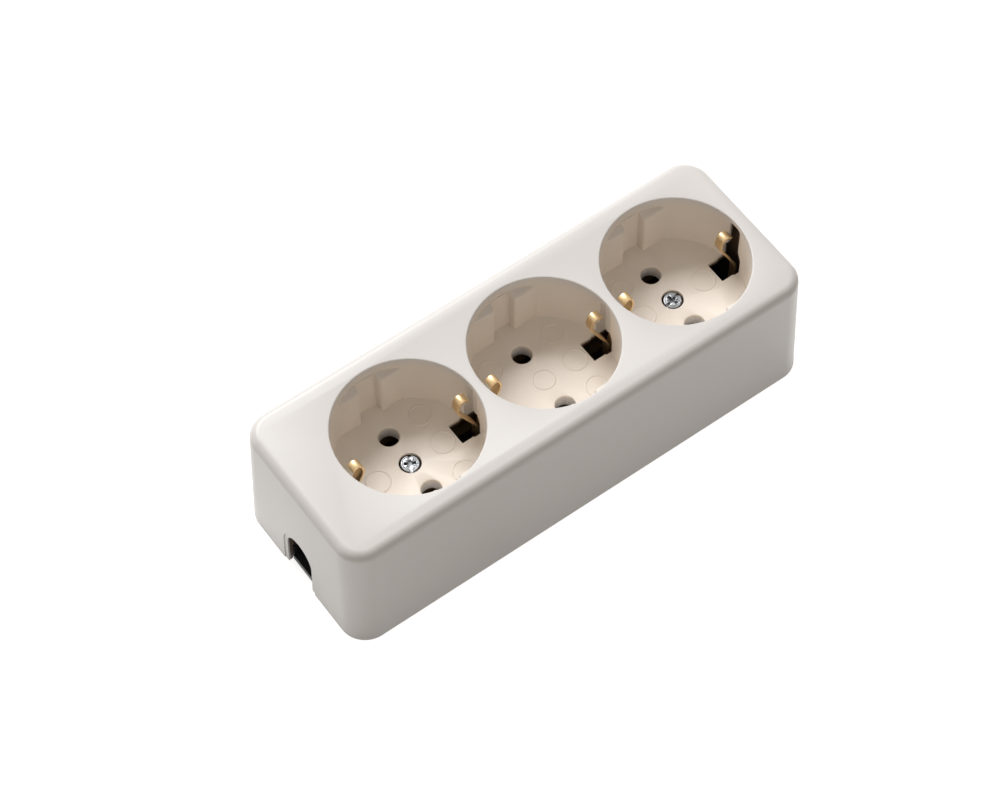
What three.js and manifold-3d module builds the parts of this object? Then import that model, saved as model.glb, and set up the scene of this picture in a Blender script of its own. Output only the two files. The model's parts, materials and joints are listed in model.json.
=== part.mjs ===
// Three-way table socket block that its user wires: a white moulded cover with three earthed wells,
// over a black base plate that carries the brass contacts, the terminals and the cable clamp.
// Millimetres. +X runs along the block away from the cable entry, +Y across it, +Z up.
// The origin is in the middle of the underside. A well's own axis is the origin of the sizes given "in a well".
import * as THREE from "three";
import { mergeVertices, toCreasedNormals } from "three/addons/utils/BufferGeometryUtils.js";
import Module from "manifold-3d";

const wasm = await Module();
wasm.setup();

// Wells
const wellCount = 3;
const wellRadius = 19.7;
const wellDepth = 18.2;
const wellWeb = 2.76; // left between two neighbouring wells
const wellWall = 1.2;
const wellFloor = 2;
const pinSpacing = 19;
const pinHole = 5.5; // diameter
const sleeveWall = 1.3; // tube under each pin hole
const sleeveReach = 2.2; // below the well's floor plate

// Cover
const cableMargin = 15.7; // first well's edge to the cable end, at the foot
const farMargin = 5.8;
const sideMargin = 6.75;
const contactRoom = 21.8; // under the wells, down to what the block stands on
const draft = 1.25; // how far each side leans in between foot and top
const cornerRadius = 7.9; // at the foot, seen from above
const topFillet = 2.5;
const coverWall = 1.6;
const roof = 2;
const stiffener = 1.4; // upright ribs inside the long sides
const stiffenerReach = 2.2;

// Guide ribs, two at each end of a well's pin line
const ribReach = 2.85; // from the well's wall in to the rib's face
const ribGap = 6.2; // open between the two ribs of a pair
const ribChannelReach = 0.25; // back of that gap, in from the well's wall
const ribDrop = 4; // below the top at the rib's face
const ribRise = 0.8; // the rib's top climbs this much to the wall
const ribEdge = 0.9; // rounding of the two inner corners

// Slots in a well's wall that let the earth clips spring back
const slotWidth = 4.2;
const slotFootWidth = 7;
const slotDrop = 1.6; // below the top
const slotShoulder = 11; // depth where the slot starts to widen
const slotFlare = 2.2; // height over which it widens
const slotReach = 5.6; // the slot runs on into the floor, this far in from the well's wall
const slotOverlap = 2; // between the window in the wall and the opening in the floor
const septumWidth = 2.4; // tongue that hangs between the slots of two wells
const septumThickness = 1.4;
const septumDrop = 14;

// Earth clips; the arm's corners are measured in from the well's wall, and down from the top
const clipThickness = 0.6;
const clipWidth = 2.6;
const clipRoot = 0.7; // outside the well's wall, where the arm climbs through the floor
const clipRun = 5; // length of the arm that lies on the foot
const clipShoulderDrop = 18.6;
const clipNose = 5.35;
const clipNoseDrop = 6.2;
const clipTop = 4.15;
const clipTopDrop = 2.5;
const clipTip = 2;
const clipTipDrop = 3.1;
const clipBend = 1.4;

// Base plate
const plateThickness = 2;
const plateRim = 1.2;
const plateRimHeight = 6;
const troughWall = 0.8;
const postWall = 1.4; // round the screws of the terminals and of the clamp
const barLevel = 9; // underside of the live and neutral bars
const railLevel = 3.7; // underside of the earth rail

// Brass strips
const strip = 0.8;
const barWidth = 8.6;
const railWidth = 9.4;
const leafLength = 7;
const leafThickness = 0.6;
const leafGrip = 4.4; // between two leaves where they hold a pin
const leafGripShare = 0.68; // of a leaf's height, up to where it holds the pin
const leafMouth = 6; // between their flared ends
const leafBend = 0.6;
const pinTipHole = 5.7;

// Cover screws, in the first and the last well
const screwShank = 3;
const screwHead = 5.1;
const screwHeadHeight = 2.2;
const headSink = 0.2; // the head's top below the well's floor
const headRoom = 0.4; // between the head and its counterbore
const driverWidth = 0.8; // slot and cross in every screw head
const slotDepth = 0.8;
const crossDepth = 1.3;
const crossSpan = 0.7; // of the head's diameter
const pointLength = 0.5; // chamfer at a screw's end
const screwBore = 3.6;
const pillarHeight = 12; // where the base plate's pillar meets the cover's boss
const pillarWall = 1.2;
const bossWall = 1.4; // round the head's counterbore
const nutAcross = 5.5; // across flats
const nutHeight = 2.2;
const nutDrop = 0.3; // the nut's underside above the block's underside
const nutBossWall = 1.2;

// Terminals, clamp and cable entry
const terminalInset = 17; // from the first well's axis to the live and neutral screws, towards the cable end
const earthTerminalInset = 4.3; // out from the first well's wall, past its clip
const terminalHead = 5.4;
const terminalHeadHeight = 2;
const terminalShank = 3.4; // below the strip that the screw holds
const washerThickness = 1;
const washerMargin = 0.4; // beyond the screw's head
const washerLip = 0.4; // height of its two turned-down edges
const washerEdge = 0.6; // their thickness
const rivetShank = 2.2;
const rivetHead = 4.2;
const rivetHeadHeight = 0.7;
const rivetSpacing = 22;
const throatWidth = 10.8;
const throatSpring = 10; // height where the arch of the throat begins
const lipWidth = 1.45; // shallow step round the throat
const lipDepth = 0.3;
const clampInset = 5.4; // from the cable end's face to the clamp's middle line
const clampLength = 5.4;
const clampThickness = 2;
const clampBore = 10;
const clampHeight = 6.3; // underside of the clamp's feet
const clampScrewSpacing = 19;
const clampEar = 3.2; // foot beyond each screw's middle

// Clearances
const fit = 0.3; // between two pieces that meet
const bite = 0.5; // how deep two parts of one moulding run into each other
const overshoot = 1; // how far a cutter runs past the face that it opens

// Facets
const wellSteps = 30; // in half a turn
const cupSteps = 20;
const pinSteps = 10;
const boreSteps = 8;
const bendSteps = 3;

// Worked out from the sizes above
const wellPitch = 2 * wellRadius + wellWeb;
const rowLength = (wellCount - 1) * wellPitch + 2 * wellRadius;
const length = cableMargin + rowLength + farMargin;
const width = 2 * (wellRadius + sideMargin);
const height = contactRoom + wellDepth;
const floorTop = contactRoom;
const floorUnder = floorTop - wellFloor;
const sleeveEnd = floorUnder - sleeveReach;
const cableFace = -length / 2;
const firstWell = cableFace + cableMargin + wellRadius;
const wells = Array.from({ length: wellCount }, (_, i) => firstWell + i * wellPitch);
const screwedWells = [wells[0], wells[wellCount - 1]];
const pinLine = pinSpacing / 2;
const lean = draft / height;
const ribFace = wellRadius - ribReach;
const ribChannel = wellRadius - ribChannelReach;
const clipLevel = railLevel + strip + fit;
const fillet = Math.min(topFillet, roof + sideMargin / 2);
const pillarRadius = screwBore / 2 + pillarWall;
const screwHole = screwShank / 2 + fit; // radius, clear of a shank
const counterbore = screwHead / 2 + headRoom;
const headSeat = floorTop - headSink - screwHeadHeight - fit;
const leafTop = sleeveEnd - 2 * fit;
const lastWell = wells[wellCount - 1];
const terminalX = firstWell - terminalInset;
const earthTerminalX = firstWell - wellRadius - earthTerminalInset;
const clampX = cableFace + clampInset;
const innerTrough = pinLine - barWidth / 2; // the bars' inner edges, from the middle line
const outerTrough = pinLine + barWidth / 2;

// Closed three.js geometry to a solid that can be joined and cut
function solid(geometry) {
  const bare = geometry.index ? geometry.toNonIndexed() : geometry.clone();
  bare.deleteAttribute("normal");
  bare.deleteAttribute("uv");
  const merged = mergeVertices(bare, 1e-4);
  return new wasm.Manifold(
    new wasm.Mesh({
      numProp: 3,
      vertProperties: merged.attributes.position.array,
      triVerts: new Uint32Array(merged.index.array),
    }),
  );
}

function join(...solids) {
  return solids.flat().reduce((sum, next) => sum.add(next));
}

function cut(body, ...tools) {
  return tools.flat().reduce((rest, tool) => rest.subtract(tool), body);
}

// Outlines
function rectangle(x0, y0, x1, y1) {
  return new THREE.Shape([
    new THREE.Vector2(x0, y0),
    new THREE.Vector2(x1, y0),
    new THREE.Vector2(x1, y1),
    new THREE.Vector2(x0, y1),
  ]);
}

function roundedRectangle(halfX, halfY, radius) {
  const r = Math.max(radius, 0.2);
  const shape = new THREE.Shape();
  shape.moveTo(halfX, -halfY + r);
  shape.lineTo(halfX, halfY - r);
  shape.absarc(halfX - r, halfY - r, r, 0, Math.PI / 2);
  shape.absarc(-halfX + r, halfY - r, r, Math.PI / 2, Math.PI);
  shape.absarc(-halfX + r, -halfY + r, r, Math.PI, 1.5 * Math.PI);
  shape.absarc(halfX - r, -halfY + r, r, 1.5 * Math.PI, 2 * Math.PI);
  return shape;
}

function circle(radius) {
  const shape = new THREE.Shape();
  shape.absarc(0, 0, radius, 0, 2 * Math.PI);
  return shape;
}

// An upright opening with a round top, standing on `foot`
function arch(halfWidth, foot, spring) {
  const shape = new THREE.Shape();
  shape.moveTo(-halfWidth, foot);
  shape.lineTo(halfWidth, foot);
  shape.lineTo(halfWidth, spring);
  shape.absarc(0, spring, halfWidth, 0, Math.PI);
  return shape;
}

// A strip of even thickness through the points, bent round at each inner one
function bentStrip(points, bend, thickness) {
  const corners = points.map(([u, v]) => new THREE.Vector2(u, v));
  const left = [];
  const right = [];
  const mark = (point, along) => {
    const normal = new THREE.Vector2(-along.y, along.x).multiplyScalar(thickness / 2);
    left.push(point.clone().add(normal));
    right.push(point.clone().sub(normal));
  };
  const heading = (i) => corners[i + 1].clone().sub(corners[i]).normalize();
  const last = corners.length - 1;
  mark(corners[0], heading(0));
  for (let i = 1; i < last; i++) {
    const start = corners[i].clone().addScaledVector(heading(i - 1), -bend);
    const end = corners[i].clone().addScaledVector(heading(i), bend);
    const curve = new THREE.QuadraticBezierCurve(start, corners[i], end);
    for (let step = 0; step <= bendSteps; step++) {
      mark(curve.getPoint(step / bendSteps), curve.getTangent(step / bendSteps));
    }
  }
  mark(corners[last], heading(last - 1));
  return new THREE.Shape([...right, ...left.reverse()]);
}

// Solids from outlines
function upright(shape, z0, z1, curveSegments = 6) {
  const geometry = new THREE.ExtrudeGeometry(shape, { depth: z1 - z0, bevelEnabled: false, curveSegments });
  return solid(geometry.translate(0, 0, z0));
}

// The outline's axes are Y and Z, and it is extruded along X.
function alongX(shape, x0, x1, curveSegments = 6) {
  const geometry = new THREE.ExtrudeGeometry(shape, { depth: x1 - x0, bevelEnabled: false, curveSegments });
  const turn = new THREE.Matrix4().makeBasis(
    new THREE.Vector3(0, 1, 0),
    new THREE.Vector3(0, 0, 1),
    new THREE.Vector3(1, 0, 0),
  );
  return solid(geometry.applyMatrix4(turn).translate(x0, 0, 0));
}

// The outline's axes are X and Z, and it is extruded along Y, evenly to both sides.
function acrossY(shape, depth, curveSegments = 6) {
  const geometry = new THREE.ExtrudeGeometry(shape, { depth, bevelEnabled: false, curveSegments });
  return solid(geometry.rotateX(Math.PI / 2).translate(0, depth / 2, 0));
}

function disc(radius, z0, z1, curveSegments = 20) {
  return upright(circle(radius), z0, z1, curveSegments);
}

function block(x0, y0, z0, x1, y1, z1) {
  return upright(rectangle(x0, y0, x1, y1), z0, z1);
}

// A turned piece about Z; the profile climbs from the axis back to the axis.
function turned(profile, segments) {
  const points = profile.map(([r, z]) => new THREE.Vector2(r, z));
  return solid(new THREE.LatheGeometry(points, segments).rotateX(Math.PI / 2));
}

// A drafted block with rounded corners, lofted through outlines that shrink as they climb
function loft(levels) {
  const cornerSteps = 7;
  const positions = [];
  const rings = levels.map(({ z, inset }) => {
    const radius = Math.max(cornerRadius - inset, 0.6);
    const outline = roundedRectangle(length / 2 - inset, width / 2 - inset, radius);
    const corners = outline.curves.filter((curve) => curve.isEllipseCurve);
    return corners.flatMap((arc) => arc.getPoints(cornerSteps).map((p) => [p.x, p.y, z]));
  });
  const count = rings[0].length;
  for (const ring of rings) positions.push(...ring.flat());
  const faces = [];
  for (let level = 0; level < rings.length - 1; level++) {
    for (let i = 0; i < count; i++) {
      const a = level * count + i;
      const b = level * count + ((i + 1) % count);
      faces.push(a, b, b + count, a, b + count, a + count);
    }
  }
  const top = (rings.length - 1) * count;
  for (let i = 1; i < count - 1; i++) {
    faces.push(0, i + 1, i);
    faces.push(top, top + i, top + i + 1);
  }
  const geometry = new THREE.BufferGeometry();
  geometry.setAttribute("position", new THREE.Float32BufferAttribute(positions, 3));
  geometry.setIndex(faces);
  return solid(geometry);
}

function outerForm() {
  const filletSteps = 5;
  const levels = [{ z: 0, inset: 0 }];
  for (let i = 0; i <= filletSteps; i++) {
    const turn = ((Math.PI / 2) * i) / filletSteps;
    const z = height - fillet + fillet * Math.sin(turn);
    levels.push({ z, inset: lean * (height - fillet) + fillet * (1 - Math.cos(turn)) });
  }
  return loft(levels);
}

function innerForm(extra, z0, z1) {
  return loft([
    { z: z0, inset: coverWall + extra + lean * z0 },
    { z: z1, inset: coverWall + extra + lean * z1 },
  ]);
}

// Cover
function guideRibs() {
  const pair = cut(
    block(-wellRadius, ribFace, floorTop, wellRadius, wellRadius + overshoot, height),
    upright(ribChannelOutline(), floorTop - overshoot, height + overshoot),
  );
  const slope = new THREE.Shape([
    new THREE.Vector2(ribFace - overshoot, floorTop - overshoot),
    new THREE.Vector2(wellRadius + 2 * overshoot, floorTop - overshoot),
    new THREE.Vector2(wellRadius + 2 * overshoot, height - ribDrop + ribRise),
    new THREE.Vector2(wellRadius, height - ribDrop + ribRise),
    new THREE.Vector2(ribFace, height - ribDrop),
    new THREE.Vector2(ribFace - overshoot, height - ribDrop),
  ]);
  const ribs = pair.intersect(alongX(slope, -wellRadius, wellRadius));
  return ribs.add(ribs.rotate([0, 0, 180]));
}

// The gap between the two ribs of a pair, with the ribs' inner corners rounded
function ribChannelOutline() {
  const half = ribGap / 2;
  const shape = new THREE.Shape();
  shape.moveTo(-half - ribEdge, ribFace - overshoot);
  shape.lineTo(half + ribEdge, ribFace - overshoot);
  shape.lineTo(half + ribEdge, ribFace);
  shape.absarc(half + ribEdge, ribFace + ribEdge, ribEdge, 1.5 * Math.PI, Math.PI, true);
  shape.lineTo(half, ribChannel);
  shape.lineTo(-half, ribChannel);
  shape.absarc(-half - ribEdge, ribFace + ribEdge, ribEdge, 0, 1.5 * Math.PI, true);
  return shape;
}

// Slot for one earth clip: upright window in the wall, and the floor opening under it
function clipSlot(reach) {
  const half = slotWidth / 2;
  const foot = slotFootWidth / 2;
  const top = height - slotDrop;
  const shoulder = height - slotShoulder;
  const corner = half / 2;
  const shape = new THREE.Shape();
  shape.moveTo(-foot, floorUnder - overshoot);
  shape.lineTo(foot, floorUnder - overshoot);
  shape.lineTo(foot, shoulder - slotFlare);
  shape.lineTo(half, shoulder);
  shape.lineTo(half, top - corner);
  shape.absarc(half - corner, top - corner, corner, 0, Math.PI / 2);
  shape.absarc(-half + corner, top - corner, corner, Math.PI / 2, Math.PI);
  shape.lineTo(-half, shoulder);
  shape.lineTo(-foot, shoulder - slotFlare);
  const wallStart = wellRadius - slotOverlap;
  const edge = wellRadius - slotReach;
  const side = foot - fit;
  const opening = block(edge, -side, floorUnder - overshoot, wallStart + bite, side, floorTop + bite);
  return alongX(shape, wallStart, reach, 4).add(opening);
}

function septum() {
  const half = septumWidth / 2;
  const end = height - septumDrop;
  const shape = new THREE.Shape();
  shape.moveTo(half, end + half);
  shape.lineTo(half, height - slotDrop + fit);
  shape.lineTo(-half, height - slotDrop + fit);
  shape.lineTo(-half, end + half);
  shape.absarc(0, end + half, half, Math.PI, 2 * Math.PI);
  return alongX(shape, -septumThickness / 2, septumThickness / 2);
}

function makeCover() {
  const cupRadius = wellRadius + wellWall;
  const webHalf = wellRadius / 3;
  const room = disc(wellRadius, floorTop, height + overshoot, wellSteps).subtract(guideRibs());
  const keep = [];
  const holes = [];
  for (const [i, x] of wells.entries()) {
    keep.push(disc(cupRadius, floorUnder, height, cupSteps).translate([x, 0, 0]));
    holes.push(room.translate([x, 0, 0]));
    for (const side of [-1, 1]) {
      const y = side * pinLine;
      keep.push(disc(pinHole / 2 + sleeveWall, sleeveEnd, floorTop, pinSteps).translate([x, y, 0]));
      holes.push(disc(pinHole / 2, sleeveEnd - overshoot, floorTop + overshoot, pinSteps).translate([x, y, 0]));
    }
    if (i > 0) {
      const middle = x - wellPitch / 2;
      keep.push(block(middle - wellWeb, -webHalf, floorUnder, middle + wellWeb, webHalf, height));
    }
    for (const side of [-1, 1]) {
      const neighbour = side > 0 ? i < wellCount - 1 : i > 0;
      const slot = clipSlot(neighbour ? (wellPitch + wellWeb) / 2 : cupRadius + overshoot);
      holes.push(slot.rotate([0, 0, side > 0 ? 0 : 180]).translate([x, 0, 0]));
    }
  }
  for (const x of screwedWells) {
    const boss = disc(counterbore + bossWall, pillarHeight + fit, floorUnder + bite, pinSteps);
    keep.push(boss.translate([x, 0, 0]));
    holes.push(disc(counterbore, headSeat, floorTop + overshoot, pinSteps).translate([x, 0, 0]));
    holes.push(disc(screwBore / 2, pillarHeight - overshoot, headSeat + bite, boreSteps).translate([x, 0, 0]));
  }
  keep.push(...sideStiffeners());
  const inside = innerForm(0, -overshoot, height - roof);
  const walls = cut(outerForm(), inside.subtract(join(keep)));
  const septa = wells.slice(1).map((x) => septum().translate([x - wellPitch / 2, 0, 0]));
  return cut(walls, holes, cableNotch()).add(join(septa));
}

// Upright ribs between the long sides and the wells; the base plate's rim stops under them.
function sideStiffeners() {
  const foot = plateRimHeight + fit;
  const ribs = [];
  for (const x of wells) {
    for (const offset of [-wellRadius / 2, wellRadius / 2]) {
      for (const side of [-1, 1]) {
        const outer = side * (width / 2);
        const inner = side * (width / 2 - coverWall - draft - stiffenerReach);
        const [y0, y1] = [Math.min(outer, inner), Math.max(outer, inner)];
        ribs.push(block(x + offset - stiffener / 2, y0, foot, x + offset + stiffener / 2, y1, height));
      }
    }
  }
  return ribs;
}

// Cable notch: a throat through the end wall, with a shallow step round it in the outer face
function cableNotch() {
  const tilt = (Math.atan(lean) * 180) / Math.PI;
  const half = throatWidth / 2;
  const throatEnd = cableFace + 2 * coverWall + draft;
  const throat = alongX(arch(half, -overshoot, throatSpring), cableFace - overshoot, throatEnd, 9);
  const step = alongX(arch(half + lipWidth, -overshoot, throatSpring), -overshoot, lipDepth, 9)
    .rotate([0, tilt, 0])
    .translate([cableFace, 0, 0]);
  return throat.add(step);
}

// Base plate
function makeBasePlate() {
  const plate = innerForm(fit, 0, plateThickness);
  const hollow = innerForm(fit + plateRim, -overshoot, plateRimHeight + overshoot);
  const rim = innerForm(fit, 0, plateRimHeight).subtract(hollow);
  const root = plateThickness / 2;
  const barEnd = lastWell + leafLength;
  const troughStart = terminalX - barWidth / 2;
  const top = barLevel - fit;
  const parts = [plate, rim];
  const post = (z) => disc(screwHole + postWall, root, z, boreSteps);
  for (const side of [-1, 1]) {
    for (const y of [innerTrough + troughWall / 2, outerTrough - troughWall / 2]) {
      const [y0, y1] = [side * y - troughWall / 2, side * y + troughWall / 2];
      parts.push(block(troughStart, y0, root, barEnd, y1, top));
    }
    parts.push(post(top).translate([terminalX, side * pinLine, 0]));
    parts.push(post(clampHeight - fit).translate([clampX, (side * clampScrewSpacing) / 2, 0]));
  }
  const railRib = rivetSpacing / 2 + rivetHead; // clear of the rivet heads under the rail
  const ribEnd = innerTrough + troughWall / 2;
  for (const well of wells) {
    for (const x of [well - railRib, well + railRib]) {
      parts.push(block(x - troughWall / 2, -ribEnd, root, x + troughWall / 2, ribEnd, railLevel - fit));
    }
  }
  parts.push(post(railLevel - fit).translate([earthTerminalX, 0, 0]));
  const sillHalf = throatWidth / 2 - fit;
  const sillStart = cableFace + coverWall;
  parts.push(block(sillStart, -sillHalf, 0, sillStart + 2 * coverWall, sillHalf, plateThickness));
  const nutBoss = nutAcross / Math.sqrt(3) + fit + nutBossWall;
  for (const x of screwedWells) {
    parts.push(disc(pillarRadius, root, pillarHeight, pinSteps).translate([x, 0, 0]));
    parts.push(disc(nutBoss, root, railLevel - fit, pinSteps).translate([x, 0, 0]));
  }

  const cuts = [block(cableFace, -sillHalf, plateThickness, cableFace + 4 * coverWall, sillHalf, height)];
  for (const side of [-1, 1]) {
    const bore = disc(screwHole, plateThickness, barLevel, boreSteps);
    cuts.push(bore.translate([terminalX, side * pinLine, 0]));
    cuts.push(bore.translate([clampX, (side * clampScrewSpacing) / 2, 0]));
  }
  cuts.push(disc(screwHole, plateThickness, railLevel, boreSteps).translate([earthTerminalX, 0, 0]));
  for (const x of screwedWells) {
    cuts.push(disc(screwBore / 2, nutDrop, pillarHeight + overshoot, boreSteps).translate([x, 0, 0]));
    cuts.push(hexagon(nutAcross + 2 * fit, -overshoot, nutDrop + nutHeight + fit).translate([x, 0, 0]));
  }
  return cut(join(parts), cuts);
}

function hexagon(across, z0, z1) {
  const geometry = new THREE.CylinderGeometry(across / Math.sqrt(3), across / Math.sqrt(3), z1 - z0, 6);
  return solid(geometry.rotateX(Math.PI / 2).translate(0, 0, (z0 + z1) / 2));
}

// Live and neutral bars: a flat strip with a pair of spring leaves at each pin
function springLeaf() {
  const edge = barWidth / 2 - leafThickness / 2;
  const rise = leafTop - barLevel;
  const points = [
    [edge, barLevel + strip / 2],
    [edge, barLevel + strip + rise / 4],
    [leafGrip / 2 + leafThickness / 2, barLevel + leafGripShare * rise],
    [leafMouth / 2 + leafThickness / 2, leafTop],
  ];
  return alongX(bentStrip(points, leafBend, leafThickness), -leafLength / 2, leafLength / 2);
}

function makeBusbar(side) {
  const start = terminalX - barWidth / 2;
  const end = lastWell + leafLength;
  const leaf = springLeaf();
  const parts = [block(start, -barWidth / 2, barLevel, end, barWidth / 2, barLevel + strip)];
  const hole = (radius) => disc(radius, barLevel - overshoot, barLevel + strip + bite, boreSteps);
  const cuts = [hole(screwHole).translate([terminalX, 0, 0])];
  for (const x of wells) {
    parts.push(leaf.translate([x, 0, 0]));
    parts.push(leaf.rotate([0, 0, 180]).translate([x, 0, 0]));
    cuts.push(hole(pinTipHole / 2).translate([x, 0, 0]));
  }
  return cut(join(parts), cuts).translate([0, side * pinLine, 0]);
}

// Earth rail and its clips
function makeEarthRail() {
  const corner = railWidth / 4;
  const start = earthTerminalX - railWidth / 3;
  const end = lastWell + rivetSpacing / 2 + rivetHead;
  const outline = roundedRectangle((end - start) / 2, railWidth / 2, corner);
  const middle = (start + end) / 2;
  const rail = upright(outline, railLevel, railLevel + strip, bendSteps).translate([middle, 0, 0]);
  const terminalHole = disc(screwHole, railLevel - overshoot, railLevel + 2 * strip, boreSteps);
  return cut(
    rail,
    terminalHole.translate([earthTerminalX, 0, 0]),
    wells.map((x) => clipHoles(railLevel).translate([x, 0, 0])),
  );
}

// Hole round the pillar and two rivet holes, the same in the rail and in each clip
function clipHoles(z) {
  const centre = disc(pillarRadius + fit, z - overshoot, z + 2 * strip, pinSteps);
  const rivetHole = disc(rivetShank / 2 + fit, z - overshoot, z + 2 * strip, boreSteps);
  const half = rivetSpacing / 2;
  return join(centre, rivetHole.translate([-half, 0, 0]), rivetHole.translate([half, 0, 0]));
}

function makeEarthClip() {
  const arm = clipArm();
  const footHalf = wellRadius + clipRoot - 2 * clipThickness;
  const outline = roundedRectangle(footHalf, railWidth / 2, railWidth / 4);
  const foot = upright(outline, clipLevel, clipLevel + clipThickness, bendSteps);
  return join(cut(foot, clipHoles(clipLevel)), arm, arm.rotate([0, 0, 180]));
}

// One arm: out along the rail, up through the floor, in to its nose and over the top
function clipArm() {
  const level = clipLevel + clipThickness / 2;
  const root = wellRadius + clipRoot;
  const points = [
    [root - clipRun, level],
    [root, level],
    [root, height - clipShoulderDrop],
    [wellRadius - clipNose, height - clipNoseDrop],
    [wellRadius - clipTop, height - clipTopDrop],
    [wellRadius - clipTip, height - clipTipDrop],
  ];
  return acrossY(bentStrip(points, clipBend, clipThickness), clipWidth);
}

// Fasteners
function makeRivet() {
  const shank = rivetShank / 2;
  const head = rivetHead / 2;
  const low = railLevel - fit;
  const high = clipLevel + clipThickness + fit;
  return turned(
    [
      [0, low - rivetHeadHeight],
      [head * 0.8, low - rivetHeadHeight],
      [head, low],
      [shank, low],
      [shank, high],
      [head, high],
      [head * 0.75, high + rivetHeadHeight * 0.75],
      [0, high + rivetHeadHeight],
    ],
    12,
  );
}

// Pan-head screw with a slot and a cross recess; `seat` is the underside of its head
function makeScrew(head, headHeight, seat, end) {
  const shank = screwShank / 2;
  const r = head / 2;
  const body = turned(
    [
      [0, end],
      [shank - pointLength, end],
      [shank, end + pointLength],
      [shank, seat],
      [r, seat],
      [r, seat + headHeight * 0.75],
      [r * 0.88, seat + headHeight * 0.95],
      [r * 0.6, seat + headHeight],
      [0, seat + headHeight],
    ],
    14,
  );
  const top = seat + headHeight;
  const half = driverWidth / 2;
  const span = crossSpan * r;
  const slot = block(-head, -half, top - slotDepth, head, half, top + overshoot);
  const cross = block(-half, -span, top - crossDepth, half, span, top + overshoot);
  return cut(body, slot, cross, cross.rotate([0, 0, 90]));
}

function makeNut() {
  const bore = disc(screwHole, nutDrop - overshoot, nutDrop + nutHeight + overshoot, boreSteps);
  return hexagon(nutAcross, nutDrop, nutDrop + nutHeight).subtract(bore);
}

// Square washer with two turned-down edges that keep the wire under it
function makeWasher(level) {
  const half = terminalHead / 2 + washerMargin;
  const z = level + strip + fit;
  const top = z + washerThickness;
  const plate = block(-half, -half, z + washerLip, half, half, top);
  const edge = block(-half, half - washerEdge, z, half, half, top);
  const bore = disc(screwHole, z - overshoot, top + overshoot, boreSteps);
  return cut(join(plate, edge, edge.rotate([0, 0, 180])), bore);
}

// Clamp: a saddle over the cable, with two grip ridges under its arch
function makeClamp() {
  const inner = clampBore / 2;
  const outer = inner + clampThickness;
  const footHalf = clampScrewSpacing / 2 + clampEar;
  const turn = Math.asin(clampThickness / outer);
  const saddle = new THREE.Shape();
  saddle.moveTo(inner, clampHeight);
  saddle.lineTo(footHalf, clampHeight);
  saddle.lineTo(footHalf, clampHeight + clampThickness);
  saddle.absarc(0, clampHeight, outer, turn, Math.PI - turn);
  saddle.lineTo(-footHalf, clampHeight + clampThickness);
  saddle.lineTo(-footHalf, clampHeight);
  saddle.lineTo(-inner, clampHeight);
  saddle.absarc(0, clampHeight, inner, Math.PI, 0, true);
  const bore = disc(screwHole, clampHeight - overshoot, clampHeight + 2 * clampThickness, boreSteps);
  const bores = [-1, 1].map((side) => bore.translate([0, (side * clampScrewSpacing) / 2, 0]));
  return cut(alongX(saddle, -clampLength / 2, clampLength / 2, 10), bores).translate([clampX, 0, 0]);
}

// Materials
function finish(color, roughness, metalness) {
  return new THREE.MeshStandardMaterial({ color, roughness, metalness });
}

const whitePlastic = () => finish(0xebe7e2, 0.35, 0);
const blackPlastic = () => finish(0x17161a, 0.5, 0);
const brass = () => finish(0xc9a573, 0.3, 1);
const zincSteel = () => finish(0x9a9c9a, 0.35, 1);

const socketBlock = new THREE.Group();

function add(name, body, material) {
  const mesh = body.getMesh();
  const geometry = new THREE.BufferGeometry();
  geometry.setAttribute("position", new THREE.Float32BufferAttribute(mesh.vertProperties, 3));
  geometry.setIndex([...mesh.triVerts]);
  const piece = new THREE.Mesh(toCreasedNormals(geometry, Math.PI / 6), material);
  piece.name = name;
  socketBlock.add(piece);
  return piece;
}

add("cover", makeCover(), whitePlastic());
add("base_plate", makeBasePlate(), blackPlastic());
add("live_busbar", makeBusbar(1), brass());
add("neutral_busbar", makeBusbar(-1), brass());
add("earth_rail", makeEarthRail(), brass());

for (const [i, x] of wells.entries()) {
  add(`earth_clip_${i + 1}`, makeEarthClip(), brass()).position.x = x;
  for (const [j, side] of [-1, 1].entries()) {
    const rivet = add(`earth_rivet_${2 * i + j + 1}`, makeRivet(), brass());
    rivet.position.x = x + (side * rivetSpacing) / 2;
  }
}

for (const [i, x] of screwedWells.entries()) {
  const screw = makeScrew(screwHead, screwHeadHeight, headSeat + fit, nutDrop);
  add(`cover_screw_${i + 1}`, screw, zincSteel()).position.x = x;
  add(`cover_nut_${i + 1}`, makeNut(), zincSteel()).position.x = x;
}

const terminals = [
  { name: "live", x: terminalX, y: pinLine, level: barLevel },
  { name: "neutral", x: terminalX, y: -pinLine, level: barLevel },
  { name: "earth", x: earthTerminalX, y: 0, level: railLevel },
];
for (const { name, x, y, level } of terminals) {
  const seat = level + strip + washerThickness + 2 * fit;
  const end = Math.max(level - terminalShank, plateThickness + fit);
  const screw = makeScrew(terminalHead, terminalHeadHeight, seat, end);
  add(`${name}_terminal_washer`, makeWasher(level), zincSteel()).position.set(x, y, 0);
  add(`${name}_terminal_screw`, screw, zincSteel()).position.set(x, y, 0);
}

add("cable_clamp", makeClamp(), blackPlastic());
for (const [i, side] of [-1, 1].entries()) {
  const seat = clampHeight + clampThickness + fit;
  const screw = makeScrew(terminalHead, terminalHeadHeight, seat, plateThickness + fit);
  add(`clamp_screw_${i + 1}`, screw, zincSteel()).position.set(clampX, (side * clampScrewSpacing) / 2, 0);
}

export default socketBlock;
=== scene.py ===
import json
from math import cos, pi, radians, sin, sqrt

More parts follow.
